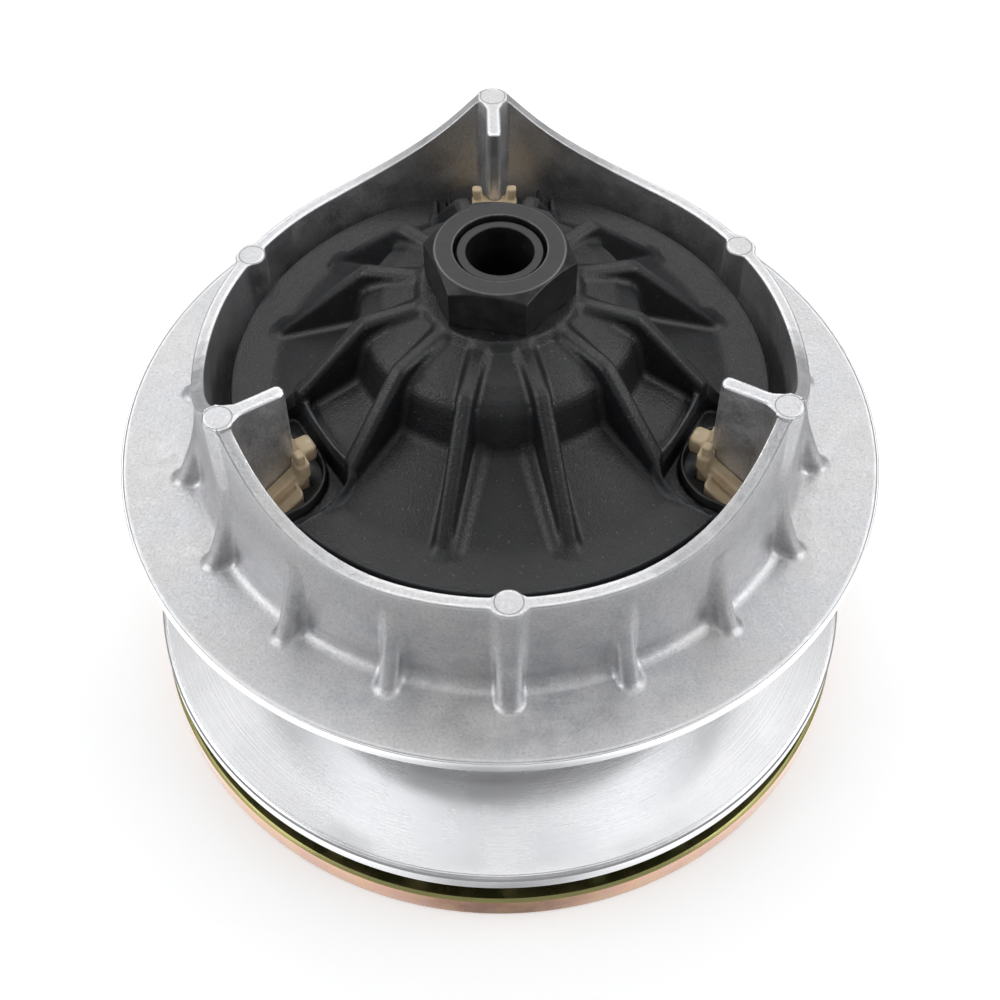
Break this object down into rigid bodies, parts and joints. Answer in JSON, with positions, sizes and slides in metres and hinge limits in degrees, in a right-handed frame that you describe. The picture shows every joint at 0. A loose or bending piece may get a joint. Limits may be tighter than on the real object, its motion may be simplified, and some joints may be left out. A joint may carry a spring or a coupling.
{
  "type": "belt transmission drive pulley",
  "caption": "Variable belt drive pulley with a fixed and a sliding sheave, a ribbed governor cup, centrifugal levers and a return spring.",
  "frame": {"origin": "centre of the steel ring's bottom face, on the shaft's axis", "axes": "+Z along the shaft from the fixed sheave to the hex nut, +Y towards one of the three crown towers"},
  "size_m": [0.201, 0.201, 0.1497],
  "materials": {
    "cast_aluminium": "satin as-cast",
    "turned_aluminium": "bright turned",
    "zinc_yellow": "yellow chromate zinc plate",
    "black_casting": "matt black coat on a casting",
    "black_steel": "black oxide",
    "bright_steel": "ground",
    "tan_nylon": "moulded",
    "black_rubber": "moulded",
    "bush_polymer": "sintered lined bush",
    "spring_steel": "enamelled spring wire"
  },
  "bodies": {
    "shaft_assembly": {"centre_shaft": "black_steel", "fixed_sheave": "turned_aluminium", "fan_ring": "zinc_yellow", "fan_ring_screws": "black_steel", "hub_sleeve": "bright_steel", "belt_bearing_washers": "bright_steel", "governor_cup": "black_casting", "cup_nut": "black_steel", "spring_seat_lower": "bright_steel", "return_spring": "spring_steel", "slider_guide_1": "tan_nylon", "slider_guide_2": "tan_nylon", "slider_guide_3": "tan_nylon", "guide_cushion_1": "black_rubber", "guide_cushion_2": "black_rubber", "guide_cushion_3": "black_rubber"},
    "sliding_sheave_assembly": {"sliding_sheave": "cast_aluminium", "large_bush": "bush_polymer", "small_bush": "bush_polymer", "spring_cover": "cast_aluminium", "cover_circlip": "black_steel", "spring_seat_upper": "bright_steel", "lever_pin_clips": "bright_steel", "lever_pin_1": "bright_steel", "lever_pin_2": "bright_steel", "lever_pin_3": "bright_steel"},
    "belt_sleeve": {"belt_bearing_sleeve": "bright_steel"},
    "needle_cage": {"belt_bearing_cage": "bush_polymer", "belt_bearing_needles": "bright_steel"},
    "lever_arm_1": {"lever_1": "bright_steel", "roller_pin_1": "bright_steel"},
    "roller_1": {"lever_roller_1": "bright_steel"},
    "lever_arm_2": {"lever_2": "bright_steel", "roller_pin_2": "bright_steel"},
    "roller_2": {"lever_roller_2": "bright_steel"},
    "lever_arm_3": {"lever_3": "bright_steel", "roller_pin_3": "bright_steel"},
    "roller_3": {"lever_roller_3": "bright_steel"}
  },
  "joints": [
    {"name": "sheave_slide", "type": "slide", "parent": "shaft_assembly", "child": "sliding_sheave_assembly", "axis": [0, 0, 1], "range_m": [-0.023, 0], "stiffness_N_per_m": 15000, "springref_m": 0.02, "deforming": ["return_spring"]},
    {"name": "belt_bearing_spin", "type": "hinge", "parent": "shaft_assembly", "child": "belt_sleeve", "pos_m": [0, 0, 0.049], "axis": [0, 0, 1], "continuous": true},
    {"name": "needle_cage_spin", "type": "hinge", "parent": "shaft_assembly", "child": "needle_cage", "pos_m": [0, 0, 0.049], "axis": [0, 0, 1], "continuous": true},
    {"name": "lever_1_swing", "type": "hinge", "parent": "sliding_sheave_assembly", "child": "lever_arm_1", "pos_m": [0, -0.065, 0.0865], "axis": [1, 0, 0], "range_deg": [0, 50.2]},
    {"name": "roller_1_spin", "type": "hinge", "parent": "lever_arm_1", "child": "roller_1", "pos_m": [0, -0.03681, 0.09676], "axis": [1, 0, 0], "continuous": true},
    {"name": "lever_2_swing", "type": "hinge", "parent": "sliding_sheave_assembly", "child": "lever_arm_2", "pos_m": [0.05629, 0.0325, 0.0865], "axis": [-0.5, 0.866, 0], "range_deg": [0, 50.2]},
    {"name": "roller_2_spin", "type": "hinge", "parent": "lever_arm_2", "child": "roller_2", "pos_m": [0.03188, 0.0184, 0.09676], "axis": [-0.5, 0.866, 0], "continuous": true},
    {"name": "lever_3_swing", "type": "hinge", "parent": "sliding_sheave_assembly", "child": "lever_arm_3", "pos_m": [-0.05629, 0.0325, 0.0865], "axis": [-0.5, -0.866, 0], "range_deg": [0, 50.2]},
    {"name": "roller_3_spin", "type": "hinge", "parent": "lever_arm_3", "child": "roller_3", "pos_m": [-0.03188, 0.0184, 0.09676], "axis": [-0.5, -0.866, 0], "continuous": true}
  ],
  "couplings": [
    {"joint": "needle_cage_spin", "follows": "belt_bearing_spin", "ratio": 0.5294},
    {"joint": "lever_1_swing", "follows": "sheave_slide", "rad_per_m": -37.942},
    {"joint": "lever_2_swing", "follows": "sheave_slide", "rad_per_m": -37.942},
    {"joint": "lever_3_swing", "follows": "sheave_slide", "rad_per_m": -37.942}
  ]
}
